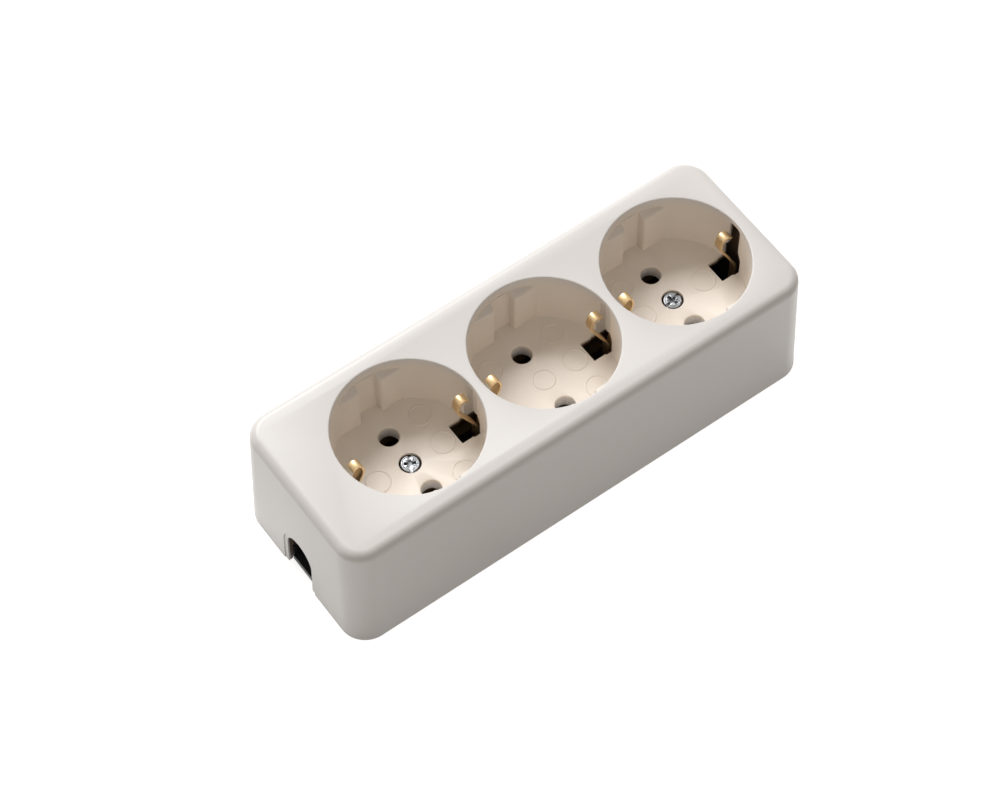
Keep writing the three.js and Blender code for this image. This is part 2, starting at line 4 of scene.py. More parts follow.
import bmesh
import bpy
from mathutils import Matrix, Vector


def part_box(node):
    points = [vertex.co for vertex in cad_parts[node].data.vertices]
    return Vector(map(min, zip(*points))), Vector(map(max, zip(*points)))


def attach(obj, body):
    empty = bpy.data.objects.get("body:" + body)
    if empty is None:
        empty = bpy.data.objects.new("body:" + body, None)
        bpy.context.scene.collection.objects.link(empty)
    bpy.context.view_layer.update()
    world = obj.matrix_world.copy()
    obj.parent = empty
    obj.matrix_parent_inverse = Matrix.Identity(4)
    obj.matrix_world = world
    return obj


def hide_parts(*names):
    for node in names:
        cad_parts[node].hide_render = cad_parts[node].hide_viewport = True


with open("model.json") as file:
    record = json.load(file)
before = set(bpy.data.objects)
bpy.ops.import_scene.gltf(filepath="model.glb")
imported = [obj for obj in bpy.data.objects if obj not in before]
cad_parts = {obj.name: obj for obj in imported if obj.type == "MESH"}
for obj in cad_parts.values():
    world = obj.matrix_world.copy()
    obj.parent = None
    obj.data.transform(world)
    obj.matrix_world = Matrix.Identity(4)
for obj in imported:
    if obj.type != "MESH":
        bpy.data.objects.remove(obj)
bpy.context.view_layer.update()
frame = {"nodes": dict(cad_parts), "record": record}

bl_info = {
    "name": "Three-way socket block",
    "version": (1, 0, 0),
    "blender": (4, 5, 0),
    "location": "View3D > Sidebar > Socket block",
    "description": "Dresses a three-way socket block: cover, earth clips, screws, finishes and a photo stage",
    "category": "Object",
}

MM = 0.001
WELLS = ("earth_clip_1", "earth_clip_2", "earth_clip_3")
OVERSHOOT = 1 * MM  # how far a cutter runs past the face that it opens
FIT = 0.3 * MM  # between two pieces that meet
BITE = 0.5 * MM  # how deep two parts of one moulding run into each other
SAME = 0.01 * MM  # places closer than this are the same

# Wells and guide ribs
FLOOR_EASE = 0.35 * MM  # rounding where a well's wall meets its floor
RIB_RISE = 0.8 * MM  # the rib's top climbs this much to the wall
RIB_TAIL = 1.5 * MM  # the rib runs on this far behind the wall
RIB_EDGE = 0.9 * MM  # rounding of the inner corner
RIB_BROW = 0.6 * MM  # rounding of the top edges
CHANNEL_BACK = 19.45 * MM  # back of the gap between two ribs, from the well's axis
PIN_EDGE = 0.3 * MM  # rounding of a pin hole's edge
SLEEVE_WALL = 1.3 * MM
RING_BEAD = 0.26 * MM  # radius of a mould ring's bead
RING_SINK = 0.1 * MM  # its middle below the floor

# Slots for the earth clips, and the tongue between two wells
SLOT_DROP = 1.6 * MM  # below the top
SLOT_SHOULDER = 11 * MM  # depth where the slot starts to widen
SLOT_FLARE = 2.2 * MM  # height over which it widens
SLOT_OVERLAP = 2 * MM  # the window starts this far inside the well's wall
OPENING_START = 14.1 * MM  # inner edge of the opening in the floor, from the well's axis
SEPTUM_WIDTH = 2.4 * MM
SEPTUM_THICKNESS = 1.4 * MM
SEPTUM_DROP = 14 * MM
SEPTUM_EDGE = 0.5 * MM
WEB_REACH = 6.5 * MM  # solid between two wells, to each side of the middle line

# Screw pillars and cable notch
PILLAR_RADIUS = 4.35 * MM
COUNTERBORE_RADIUS = 2.95 * MM
COUNTERBORE_DEPTH = 2.7 * MM
COUNTERBORE_EDGE = 0.15 * MM
BORE_RADIUS = 1.8 * MM
BORE_START = 10 * MM  # above the foot, inside the pillar's own opening
BORE_DROP = 2 * MM  # end of the bore, inside the counterbore
COLLAR_WALL = 1.2 * MM
COLLAR_FOOT = 6.4 * MM  # clear of the base plate's rim

# Earth clips
CLIP_RUN = 5 * MM  # length of the arm that lies on the foot
CLIP_SWELL = 0.2 * MM  # added at the nose and the top, because a bend cuts its corner
SHOULDER_DROP = 18.6 * MM  # below the top
NOSE_DROP = 6.2 * MM
TOP_DROP = 2.15 * MM
TIP_DROP = 3.5 * MM
STRIP_EDGE = 0.09 * MM
FOOT_HOLE = 3.3 * MM  # radius, round the pillar
RIVET_HOLE = 1.4 * MM  # radius
RIVET_REACH = 11 * MM  # from the well's axis

# Cover screws
HEAD_HEIGHT = 2.2 * MM
SHANK_RADIUS = 1.5 * MM
POINT_RADIUS = 1.1 * MM
POINT_LENGTH = 0.5 * MM
HEAD_SIDE = 0.55 * MM  # the head's side ends this far below its top
HEAD_EDGE = 0.3 * MM
HEAD_FALL = 0.05 * MM  # the rounded edge starts this far below the top
RECESS_EDGE = 0.05 * MM
GROOVE_DEPTH = 0.22 * MM
SCREW_SLOT = 0.84 * MM  # width of the slot and of the cross
SLOT_DEPTH = 0.85 * MM
CROSS_REACH = 1.85 * MM
CROSS_DEPTH = 1.5 * MM
CROSS_TAPER = 0.7  # the cross's foot against its mouth
MARK_REACH = 1.6 * MM  # the shallow marks between the cross's arms
MARK_WIDTH = 0.28 * MM
MARK_DEPTH = 0.3 * MM
SCREW_TURNS = (62, 15)  # degrees, as they stand in the photograph

# Zones where shade is painted into the cover's colour
WELL_SHADE_EDGE = 0.05 * MM  # the wells' painted warm shade is full this close to the wall
WELL_SHADE_START = 0.3 * MM  # and fades in between these two depths
WELL_SHADE_FULL = 3.5 * MM
PALE_SLEEVE = 0.6 * MM  # wall round each pin hole that stays pale, free of the painted dark shade
PALE_END = 5 * MM  # room behind the notch that stays pale, free of the painted dark shade

# Stage
FLOOR_GLOW = 0.82  # what brings the lit floor up to white
FLOOR_DROP = 0.05 * MM  # below the block's underside
KEY_PLACE = (0.08, 0.655, 0.7)
KEY_AIM = (0, 0, 0.02)
KEY_SIZE = (0.5, 0.4)
SKY_COLOR = (1, 0.92, 0.84, 1)


def well_places():
    """The wells' axes along X: the middle of each earth clip."""
    return [(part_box(name)[0][0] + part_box(name)[1][0]) / 2 for name in WELLS]


WELL_X = well_places()
COVER_LOW, COVER_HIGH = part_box("cover")
HEIGHT = COVER_HIGH[2]


class CoverSettings(bpy.types.PropertyGroup):
    draft: bpy.props.FloatProperty(
        name="Draft", description="How far each side leans in between foot and top",
        default=1.25 * MM, unit="LENGTH")
    corner: bpy.props.FloatProperty(
        name="Corner radius", description="Upright corners", default=7.35 * MM, unit="LENGTH")
    fillet: bpy.props.FloatProperty(
        name="Top fillet", description="Rounding of the top edge", default=2.5 * MM, unit="LENGTH")
    wall: bpy.props.FloatProperty(
        name="Wall", description="Wall of the cover", default=1.6 * MM, unit="LENGTH")
    roof: bpy.props.FloatProperty(
        name="Roof", description="Thickness of the top", default=2 * MM, unit="LENGTH")
    throat: bpy.props.FloatProperty(
        name="Throat", description="Width of the cable notch", default=10.8 * MM, unit="LENGTH")
    throat_spring: bpy.props.FloatProperty(
        name="Spring", description="Height where the notch's arch begins",
        default=10 * MM, unit="LENGTH")
    lip: bpy.props.FloatProperty(
        name="Lip", description="Width of the step round the notch", default=1.45 * MM, unit="LENGTH")
    lip_depth: bpy.props.FloatProperty(
        name="Lip depth", description="Depth of the step round the notch",
        default=0.3 * MM, unit="LENGTH")


class WellSettings(bpy.types.PropertyGroup):
    radius: bpy.props.FloatProperty(
        name="Radius", description="Well radius", default=19.7 * MM, unit="LENGTH")
    depth: bpy.props.FloatProperty(
        name="Depth", description="Well depth", default=18.2 * MM, unit="LENGTH")
    wall: bpy.props.FloatProperty(
        name="Wall", description="Wall of a well", default=1.2 * MM, unit="LENGTH")
    floor: bpy.props.FloatProperty(
        name="Floor", description="Floor thickness", default=2 * MM, unit="LENGTH")
    rim: bpy.props.FloatProperty(
        name="Rim", description="Rounding of the well's rim", default=0.35 * MM, unit="LENGTH")
    pin_spacing: bpy.props.FloatProperty(
        name="Pin spacing", description="Between the two pin holes", default=19 * MM, unit="LENGTH")
    pin_hole: bpy.props.FloatProperty(
        name="Pin hole", description="Width of a pin hole", default=5.5 * MM, unit="LENGTH")
    sleeve: bpy.props.FloatProperty(
        name="Sleeve", description="Reach of the pin hole's sleeve under the floor",
        default=2.2 * MM, unit="LENGTH")
    rib_face: bpy.props.FloatProperty(
        name="Rib face", description="Guide rib's face from the axis",
        default=16.85 * MM, unit="LENGTH")
    rib_gap: bpy.props.FloatProperty(
        name="Rib gap", description="Open between two guide ribs", default=6.2 * MM, unit="LENGTH")
    rib_drop: bpy.props.FloatProperty(
        name="Rib drop", description="Rib's top below the cover's top", default=4 * MM, unit="LENGTH")
    slot_width: bpy.props.FloatProperty(
        name="Slot width", description="Upper part of an earth clip's slot",
        default=4.2 * MM, unit="LENGTH")
    slot_foot: bpy.props.FloatProperty(
        name="Slot foot", description="Lower part of an earth clip's slot",
        default=7 * MM, unit="LENGTH")


class ClipSettings(bpy.types.PropertyGroup):
    thickness: bpy.props.FloatProperty(
        name="Thickness", description="Brass strip", default=0.6 * MM, unit="LENGTH")
    width: bpy.props.FloatProperty(
        name="Width", description="Width of an arm", default=2.6 * MM, unit="LENGTH")
    root: bpy.props.FloatProperty(
        name="Root", description="Arm under the floor, outside the well's wall",
        default=0.7 * MM, unit="LENGTH")
    nose: bpy.props.FloatProperty(
        name="Nose", description="Nose, in from the well's wall", default=5.35 * MM, unit="LENGTH")
    top: bpy.props.FloatProperty(
        name="Top", description="Highest bend, in from the well's wall",
        default=4.15 * MM, unit="LENGTH")
    tip: bpy.props.FloatProperty(
        name="Tip", description="Tip, in from the well's wall", default=2 * MM, unit="LENGTH")
    bend: bpy.props.FloatProperty(
        name="Bend", description="Length taken by a bend", default=1.9 * MM, unit="LENGTH")


class FinishSettings(bpy.types.PropertyGroup):
    white: bpy.props.FloatVectorProperty(
        name="White plastic", description="Colour of the cover", subtype="COLOR", size=3,
        default=(0.83, 0.806, 0.785))
    # Painted shade: the warm tint that the wells get, fuller deeper down, stands in for the warm bounce light
    # in their shade.
    well: bpy.props.FloatVectorProperty(
        name="Wells", description="Colour inside the wells", subtype="COLOR", size=3,
        default=(0.88, 0.81, 0.73))
    # Painted shade: dark brown on the white cover's inner faces, seen through the slots, stands in for the
    # shade inside the closed hollow.
    hollow: bpy.props.FloatVectorProperty(
        name="Hollow", description="Colour inside the closed hollow", subtype="COLOR", size=3,
        default=(0.15, 0.105, 0.075))
    # Painted shade: the brass of the bars hidden inside the cover is darkened to stand in for the shade there.
    hidden_brass_shade: bpy.props.FloatVectorProperty(
        name="Dull brass", description="Colour of the hidden bars", subtype="COLOR", size=3,
        default=(0.2, 0.13, 0.07))
    black: bpy.props.FloatVectorProperty(
        name="Black plastic", description="Colour of the base", subtype="COLOR", size=3,
        default=(0.012, 0.012, 0.014))
    brass: bpy.props.FloatVectorProperty(
        name="Brass", description="Colour of the contacts", subtype="COLOR", size=3,
        default=(0.78, 0.56, 0.3))
    zinc: bpy.props.FloatVectorProperty(
        name="Zinc", description="Colour of the screws", subtype="COLOR", size=3,
        default=(0.36, 0.37, 0.38))


class StageSettings(bpy.types.PropertyGroup):
    lens: bpy.props.FloatProperty(name="Lens", description="Focal length in mm", default=107.25)
    eye: bpy.props.FloatVectorProperty(
        name="Eye", description="Camera's place", subtype="XYZ", unit="LENGTH", size=3,
        default=(-0.24054, -0.32387, 0.67608))
    target: bpy.props.FloatVectorProperty(
        name="Target", description="Point in the picture's middle", subtype="XYZ", unit="LENGTH", size=3,
        default=(-0.01421, -0.00736, 0.03996))
    roll: bpy.props.FloatProperty(
        name="Roll", description="Turn about the line of sight", subtype="ANGLE",
        default=radians(-0.496))
    key: bpy.props.FloatProperty(name="Key", description="Watts of the large soft lamp", default=7.4)
    fill: bpy.props.FloatProperty(name="Fill", description="Strength of the sky", default=0.29)


# Selection and edit-mode helpers

def select_only(obj):
    if bpy.context.mode != "OBJECT":
        bpy.ops.object.mode_set(mode="OBJECT")
    bpy.ops.object.select_all(action="DESELECT")
    obj.select_set(True)
    bpy.context.view_layer.objects.active = obj


def place_in_mesh(obj):
    """Moves an object's place, turn and size into its mesh."""
    select_only(obj)
    bpy.ops.object.transform_apply(location=True, rotation=True, scale=True)


def edit(obj):
    """Enters edit mode and gives the object's live mesh."""
    select_only(obj)
    bpy.ops.object.mode_set(mode="EDIT")
    return bmesh.from_edit_mesh(obj.data)


def leave(obj):
    bpy.ops.object.mode_set(mode="OBJECT")
    return obj


def pick_verts(obj, test):
    """In edit mode: selects just the vertices that pass the test."""
    bpy.ops.mesh.select_mode(type="VERT")
    mesh = bmesh.from_edit_mesh(obj.data)
    for vert in mesh.verts:
        vert.select_set(False)
    for vert in mesh.verts:
        if test(vert.co):
            vert.select_set(True)
    mesh.select_flush(True)
    bmesh.update_edit_mesh(obj.data)


def pick_edges(obj, test):
    """In edit mode: selects just the edges whose two ends pass the test."""
    bpy.ops.mesh.select_mode(type="EDGE")
    mesh = bmesh.from_edit_mesh(obj.data)
    for edge in mesh.edges:
        edge.select_set(False)
    for edge in mesh.edges:
        if test(edge.verts[0].co, edge.verts[1].co):
            edge.select_set(True)
    bmesh.update_edit_mesh(obj.data)


def same(a, b):
    return abs(a - b) < SAME


# Primitive shapes, each finished with its place in its mesh

def box(name, low, high):
    centre = [(a + b) / 2 for a, b in zip(low, high)]
    bpy.ops.mesh.primitive_cube_add(size=1, location=centre)
    obj = bpy.context.object
    obj.name = name
    obj.scale = [b - a for a, b in zip(low, high)]
    place_in_mesh(obj)
    return obj


def cylinder(name, radius, z0, z1, x=0, y=0, vertices=96):
    bpy.ops.mesh.primitive_cylinder_add(
        vertices=vertices, radius=radius, depth=z1 - z0, location=(x, y, (z0 + z1) / 2))
    obj = bpy.context.object
    obj.name = name
    place_in_mesh(obj)
    return obj


def turned(name, profile, steps=96):
    """A closed form spun about Z from a profile that runs from the axis back to the axis."""
    bpy.ops.mesh.primitive_plane_add(size=1 * MM)
    obj = bpy.context.object
    obj.name = name
    mesh = edit(obj)
    bmesh.ops.delete(mesh, geom=list(mesh.verts)[1:], context="VERTS")
    mesh.verts.ensure_lookup_table()
    mesh.verts[0].co = (profile[0][0], 0, profile[0][1])
    mesh.verts[0].select_set(True)
    bmesh.update_edit_mesh(obj.data)
    bpy.ops.mesh.select_mode(type="VERT")
    bpy.ops.mesh.select_all(action="SELECT")
    for (r0, z0), (r1, z1) in zip(profile, profile[1:]):
        bpy.ops.mesh.extrude_region_move(TRANSFORM_OT_translate={"value": (r1 - r0, 0, z1 - z0)})
    bpy.ops.mesh.select_all(action="SELECT")
    bpy.ops.mesh.spin(steps=steps, angle=2 * pi, center=(0, 0, 0), axis=(0, 0, 1))
    bpy.ops.mesh.select_all(action="SELECT")
    bpy.ops.mesh.remove_doubles(threshold=0.002 * MM)
    bpy.ops.mesh.normals_make_consistent(inside=False)
    return leave(obj)


def arc(centre, radius, start, end, steps):
    """Points of a round stretch, angles in degrees."""
    turns = [radians(start + (end - start) * i / steps) for i in range(steps + 1)]
    return [(centre[0] + radius * cos(t), centre[1] + radius * sin(t)) for t in turns]


def shift(obj, x=0, y=0, z=0):
    obj.location = (x, y, z)
    place_in_mesh(obj)
    return obj


def half_turn(obj):
    obj.rotation_euler = (0, 0, pi)
    place_in_mesh(obj)
    return obj


def copy_of(obj, name):
    twin = obj.copy()
    twin.data = obj.data.copy()
    twin.name = name
    bpy.context.collection.objects.link(twin)
    return twin


def apply_modifier(obj, kind, **values):
    select_only(obj)
    modifier = obj.modifiers.new(kind.title(), kind)
    for key, value in values.items():
        setattr(modifier, key, value)
    bpy.ops.object.modifier_apply(modifier=modifier.name)
    return obj


def combine(target, tool, operation):
    """Joins or cuts with a closed tool, which is used up."""
    apply_modifier(target, "BOOLEAN", object=tool, operation=operation, solver="MANIFOLD")
    bpy.data.objects.remove(tool)
    if not target.data.polygons:
        raise RuntimeError(f"{target.name} is empty after {operation}")
    return target


def smooth(obj, degrees):
    select_only(obj)
    bpy.ops.object.shade_smooth_by_angle(angle=radians(degrees))


def coat(obj, finish):
    obj.data.materials.clear()
    obj.data.materials.append(finish)


# Cover

def drafted_block(name, inset, z0, z1, corner, segments):
    """The housing's outline, inset by a wall, leaning in as the sides do."""
    settings = bpy.context.scene.socket_cover
    lean = settings.draft / HEIGHT
    half_x = (COVER_HIGH[0] - COVER_LOW[0]) / 2 - inset
    half_y = (COVER_HIGH[1] - COVER_LOW[1]) / 2 - inset
    foot_x = half_x - lean * z0
    foot_y = half_y - lean * z0
    obj = box(name, (-foot_x, -foot_y, z0), (foot_x, foot_y, z1))
    edit(obj)
    pick_verts(obj, lambda co: same(co.z, z1))
    bpy.ops.transform.resize(value=((half_x - lean * z1) / foot_x, (half_y - lean * z1) / foot_y, 1))
    pick_edges(obj, lambda a, b: abs(a.z - b.z) > (z1 - z0) / 2)
    bpy.ops.mesh.bevel(offset=corner, segments=segments)
    return leave(obj)


def outer_block():
    """The cover's outside, solid, with its top edge rounded."""
    settings = bpy.context.scene.socket_cover
    obj = drafted_block("cover", 0, 0, HEIGHT, settings.corner, 20)
    edit(obj)
    pick_edges(obj, lambda a, b: same(a.z, HEIGHT) and same(b.z, HEIGHT))
    bpy.ops.mesh.bevel(offset=settings.fillet, segments=10)
    return leave(obj)


def guide_rib(side, end):
    """One of the four ribs, from inside the wall to its face, with a sloping top."""
    well = bpy.context.scene.socket_well
    near = well.rib_gap / 2
    reach = well.radius + OVERSHOOT
    top = HEIGHT - well.rib_drop
    slope = RIB_RISE * (reach - well.rib_face) / (well.radius - well.rib_face)
    far = sqrt(well.radius ** 2 - well.rib_face ** 2) + RIB_TAIL
    low = HEIGHT - well.depth - OVERSHOOT
    rib = box("rib", (near, well.rib_face, low), (far, reach, top))
    edit(rib)
    pick_verts(rib, lambda co: same(co.z, top) and same(co.y, reach))
    bpy.ops.transform.translate(value=(0, 0, slope))

    def on_face(a, b):
        return same(a.y, well.rib_face) and same(b.y, well.rib_face)

    def on_brow(a, b):
        above = min(a.z, b.z) > top - SAME and max(a.x, b.x) < far - SAME and max(a.y, b.y) < reach - SAME
        return above or same(a.z, top) and same(b.z, top) and on_face(a, b)

    pick_edges(rib, lambda a, b: same(a.x, near) and same(b.x, near) and on_face(a, b))
    bpy.ops.mesh.bevel(offset=RIB_EDGE, segments=7)
    pick_edges(rib, on_brow)
    bpy.ops.mesh.bevel(offset=RIB_BROW, segments=5)
    leave(rib)
    if side < 0:
        mirror(rib, 0)
    if end < 0:
        mirror(rib, 1)
    return rib


def mirror(obj, axis):
    obj.scale[axis] = -1
    place_in_mesh(obj)
    edit(obj)
    bpy.ops.mesh.select_all(action="SELECT")
    bpy.ops.mesh.normals_make_consistent(inside=False)
    return leave(obj)


def well_cutter():
    """The room of one well: a drum with a rounded rim, less the guide ribs."""
    well = bpy.context.scene.socket_well
    floor = HEIGHT - well.depth
    profile = [(0, floor)]
    profile += arc((well.radius - FLOOR_EASE, floor + FLOOR_EASE), FLOOR_EASE, -90, 0, 4)
    profile += arc((well.radius + well.rim, HEIGHT - well.rim), well.rim, 180, 90, 5)
    profile += [(well.radius + well.rim, HEIGHT + OVERSHOOT), (0, HEIGHT + OVERSHOOT)]
    cutter = turned("well", profile, 160)
    half = well.rib_gap / 2 + OVERSHOOT
    top = HEIGHT - well.rib_drop + RIB_RISE
    for end in (1, -1):
        for side in (1, -1):
            combine(cutter, guide_rib(side, end), "DIFFERENCE")
        back = box("back", (-half, CHANNEL_BACK, floor - OVERSHOOT), (half, CHANNEL_BACK + OVERSHOOT, top))
        combine(cutter, back if end > 0 else mirror(back, 1), "DIFFERENCE")
    return cutter


def slot_cutter(reach):
    """Window for one earth clip in the wall, widening to its foot, and the opening in the floor."""
    well = bpy.context.scene.socket_well
    floor = HEIGHT - well.depth
    half = well.slot_width / 2
    foot = well.slot_foot / 2
    start = well.radius - SLOT_OVERLAP
    top = HEIGHT - SLOT_DROP
    shoulder = HEIGHT - SLOT_SHOULDER
    wide = shoulder - SLOT_FLARE
    window = box("slot", (start, -half, wide - OVERSHOOT), (reach, half, top))
    edit(window)
    pick_edges(window, lambda a, b: same(a.z, top) and same(b.z, top) and abs(a.x - b.x) > half)
    bpy.ops.mesh.bevel(offset=half / 2, segments=6)
    leave(window)
    lower = floor - well.floor - OVERSHOOT
    combine(window, box("foot", (start, -foot, lower), (reach, foot, wide)), "UNION")
    taper = box("taper", (start, -foot, wide - 0.1 * MM), (reach, foot, shoulder))
    edit(taper)
    pick_verts(taper, lambda co: same(co.z, shoulder))
    bpy.ops.transform.resize(value=(1, half / foot, 1))
    leave(taper)
    combine(window, taper, "UNION")
    side = foot - FIT
    opening = box("opening", (OPENING_START, -side, lower), (start + OVERSHOOT, side, floor + BITE))
    return combine(window, opening, "UNION")


def septum(x):
    """Round-ended tongue that hangs between the slots of two wells."""
    half = SEPTUM_WIDTH / 2
    deep = SEPTUM_THICKNESS / 2
    low = HEIGHT - SEPTUM_DROP
    tongue = box("septum", (x - deep, -half, low), (x + deep, half, HEIGHT - OVERSHOOT))
    edit(tongue)
    pick_edges(tongue, lambda a, b: same(a.z, low) and same(b.z, low) and same(a.y, b.y))
    bpy.ops.mesh.bevel(offset=half * 0.96, segments=8)
    leave(tongue)
    return apply_modifier(
        tongue, "BEVEL", width=SEPTUM_EDGE, segments=4, limit_method="ANGLE", angle_limit=radians(50))


def hole_cutter(name, radius, bottom, edge, top):
    """A round hole down from `top`, with its edge eased."""
    profile = [(0, bottom), (radius, bottom)]
    profile += arc((radius + edge, top - edge), edge, 180, 90, 4)
    profile += [(radius + edge, top + OVERSHOOT), (0, top + OVERSHOOT)]
    return turned(name, profile, 64)


def ring(x, y, z, radius):
    """The faint raised ring that an ejector pin leaves in the floor."""
    bpy.ops.mesh.primitive_torus_add(
        major_radius=radius, minor_radius=RING_BEAD, major_segments=72, minor_segments=12,
        location=(x, y, z - RING_SINK))
    obj = bpy.context.object
    obj.name = "ring"
    place_in_mesh(obj)
    return obj


def arch_block(name, half, top, x0, x1):
    """An upright opening with a round top, run along X."""
    obj = box(name, (x0, -half, -OVERSHOOT), (x1, half, top))
    edit(obj)
    pick_edges(obj, lambda a, b: same(a.z, top) and same(b.z, top) and same(a.y, b.y))
    bpy.ops.mesh.bevel(offset=half * 0.995, segments=14)
    return leave(obj)


def cut_cable_notch(cover):
    """Cuts the arched notch, with a collar behind it and a shallow step round its mouth."""
    settings = bpy.context.scene.socket_cover
    face = COVER_LOW[0]
    half = settings.throat / 2
    spring = settings.throat_spring
    rim = half + COLLAR_WALL
    collar = arch_block("collar", rim, spring + rim, face + settings.wall / 2, face + 1.5 * settings.wall)
    side = rim + OVERSHOOT
    above_tray = box("above", (face, -side, COLLAR_FOOT), (face + 3 * settings.wall, side, HEIGHT))
    combine(cover, combine(collar, above_tray, "INTERSECT"), "UNION")
    behind = face + 2 * settings.wall + settings.draft
    combine(cover, arch_block("throat", half, spring + half, face - OVERSHOOT, behind), "DIFFERENCE")
    outer = half + settings.lip
    step = arch_block("step", outer, spring + outer, face - OVERSHOOT, face + settings.lip_depth)
    lean = settings.draft / HEIGHT
    mesh = edit(step)
    for vert in mesh.verts:
        vert.co.x += lean * vert.co.z
    bmesh.update_edit_mesh(step.data)
    leave(step)
    combine(cover, step, "DIFFERENCE")


def spaces():
    """The distance between two wells' axes, and what is left between the wells."""
    pitch = WELL_X[1] - WELL_X[0]
    return pitch, pitch - 2 * bpy.context.scene.socket_well.radius


def hollow_out(cover):
    """Cuts the closed room round the wells' cups, the pin holes' sleeves and the webs."""
    settings = bpy.context.scene.socket_cover
    well = bpy.context.scene.socket_well
    floor = HEIGHT - well.depth
    under = floor - well.floor
    pitch, web = spaces()
    inside = drafted_block(
        "inside", settings.wall, -OVERSHOOT, HEIGHT - settings.roof, settings.corner - settings.wall, 10)
    sleeve_radius = well.pin_hole / 2 + SLEEVE_WALL
    low = under - well.sleeve
    for x in WELL_X:
        cup = cylinder("cup", well.radius + well.wall, under, HEIGHT, x, vertices=160)
        combine(inside, cup, "DIFFERENCE")
        for side in (-1, 1):
            y = side * well.pin_spacing / 2
            combine(inside, cylinder("sleeve", sleeve_radius, low, floor - OVERSHOOT, x, y, 48), "DIFFERENCE")
    for x in WELL_X[1:]:
        middle = x - pitch / 2
        block = box("web", (middle - web, -WEB_REACH, under), (middle + web, WEB_REACH, HEIGHT))
        combine(inside, block, "DIFFERENCE")
    combine(cover, inside, "DIFFERENCE")


def cut_wells(cover):
    """Cuts each well's room and its two pin holes."""
    well = bpy.context.scene.socket_well
    floor = HEIGHT - well.depth
    below = floor - well.floor - well.sleeve - OVERSHOOT
    cutter = well_cutter()
    for x in WELL_X:
        combine(cover, shift(copy_of(cutter, "room"), x), "DIFFERENCE")
        for side in (-1, 1):
            hole = hole_cutter("pin_hole", well.pin_hole / 2, below, PIN_EDGE, floor)
            combine(cover, shift(hole, x, side * well.pin_spacing / 2), "DIFFERENCE")
    bpy.data.objects.remove(cutter)


def cut_slots(cover):
    """Cuts two slots in each well, and hangs the tongues between the wells."""
    well = bpy.context.scene.socket_well
    pitch, web = spaces()
    outside = well.radius + well.wall + OVERSHOOT
    for i, x in enumerate(WELL_X):
        for side in (-1, 1):
            inner = 0 <= i + side < len(WELL_X)
            slot = slot_cutter((pitch + web) / 2 if inner else outside)
            if side < 0:
                half_turn(slot)
            combine(cover, shift(slot, x), "DIFFERENCE")
    for x in WELL_X[1:]:
        combine(cover, septum(x - pitch / 2), "UNION")


def add_pillars(cover):
    """Adds the two screw pillars, each with its counterbore and bore."""
    well = bpy.context.scene.socket_well
    floor = HEIGHT - well.depth
    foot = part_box("base_plate")[1][2] + FIT
    seat_level = floor - COUNTERBORE_DEPTH
    for x in (WELL_X[0], WELL_X[-1]):
        pillar = cylinder("pillar", PILLAR_RADIUS, foot, floor - well.floor + BITE, x, 0, 48)
        combine(cover, pillar, "UNION")
        seat = hole_cutter("counterbore", COUNTERBORE_RADIUS, seat_level, COUNTERBORE_EDGE, floor)
        combine(cover, shift(seat, x), "DIFFERENCE")
        bore = cylinder("bore", BORE_RADIUS, BORE_START, floor - BORE_DROP, x, 0, 32)
        combine(cover, bore, "DIFFERENCE")


def add_rings(cover):
    """Raises the mould's rings on the floors of the wells."""
    floor = HEIGHT - bpy.context.scene.socket_well.depth
    for x, rings in zip(WELL_X, RINGS):
        for dx, dy, radius in rings:
            combine(cover, ring(x + dx * MM, dy * MM, floor, radius * MM), "UNION")


# Rings left by the mould in each well's floor: place from the well's axis and radius, in millimetres
RINGS = (
    ((10.15, 0.1, 3.2), (9.9, -10.2, 3.2), (-9.7, 0.2, 3.2), (10.2, 10.05, 2.85)),
    ((10.15, 0.1, 3.2), (10.2, -9.8, 3.2), (-9.6, 9.9, 3.2), (10.3, 10.05, 2.85), (0.1, 0, 2.95)),
    ((-9.2, 0.4, 3.2), (10.1, 0, 3.2), (-8.8, 10.1, 2.85)),
)


class SOCKETBLOCK_OT_cover(bpy.types.Operator):
    """Models the white moulded cover with its wells, ribs, slots and cable notch"""

    bl_idname = "socketblock.cover"
    bl_label = "Cover"

    def execute(self, context):
        cover = outer_block()
        hollow_out(cover)
        cut_wells(cover)
        cut_slots(cover)
        add_pillars(cover)
        add_rings(cover)
        cut_cable_notch(cover)
        cover.name = "cover_shell"
        cover.data.name = "cover_shell"
        smooth(cover, 32)
        coat(cover, white_plastic())
        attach(cover, "root")
        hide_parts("cover")
        return {"FINISHED"}


# Earth clips

def bent_line(points, bend, steps):
    """A line through the points, with each inner corner bent round."""
    corners = [Vector(point) for point in points]
    line = [corners[0]]
    for before, corner, after in zip(corners, corners[1:], corners[2:]):
        start = corner + (before - corner).normalized() * bend
        end = corner + (after - corner).normalized() * bend
        for i in range(steps + 1):
            t = i / steps
            line.append(start * (1 - t) ** 2 + corner * 2 * t * (1 - t) + end * t ** 2)
    return line + [corners[-1]]


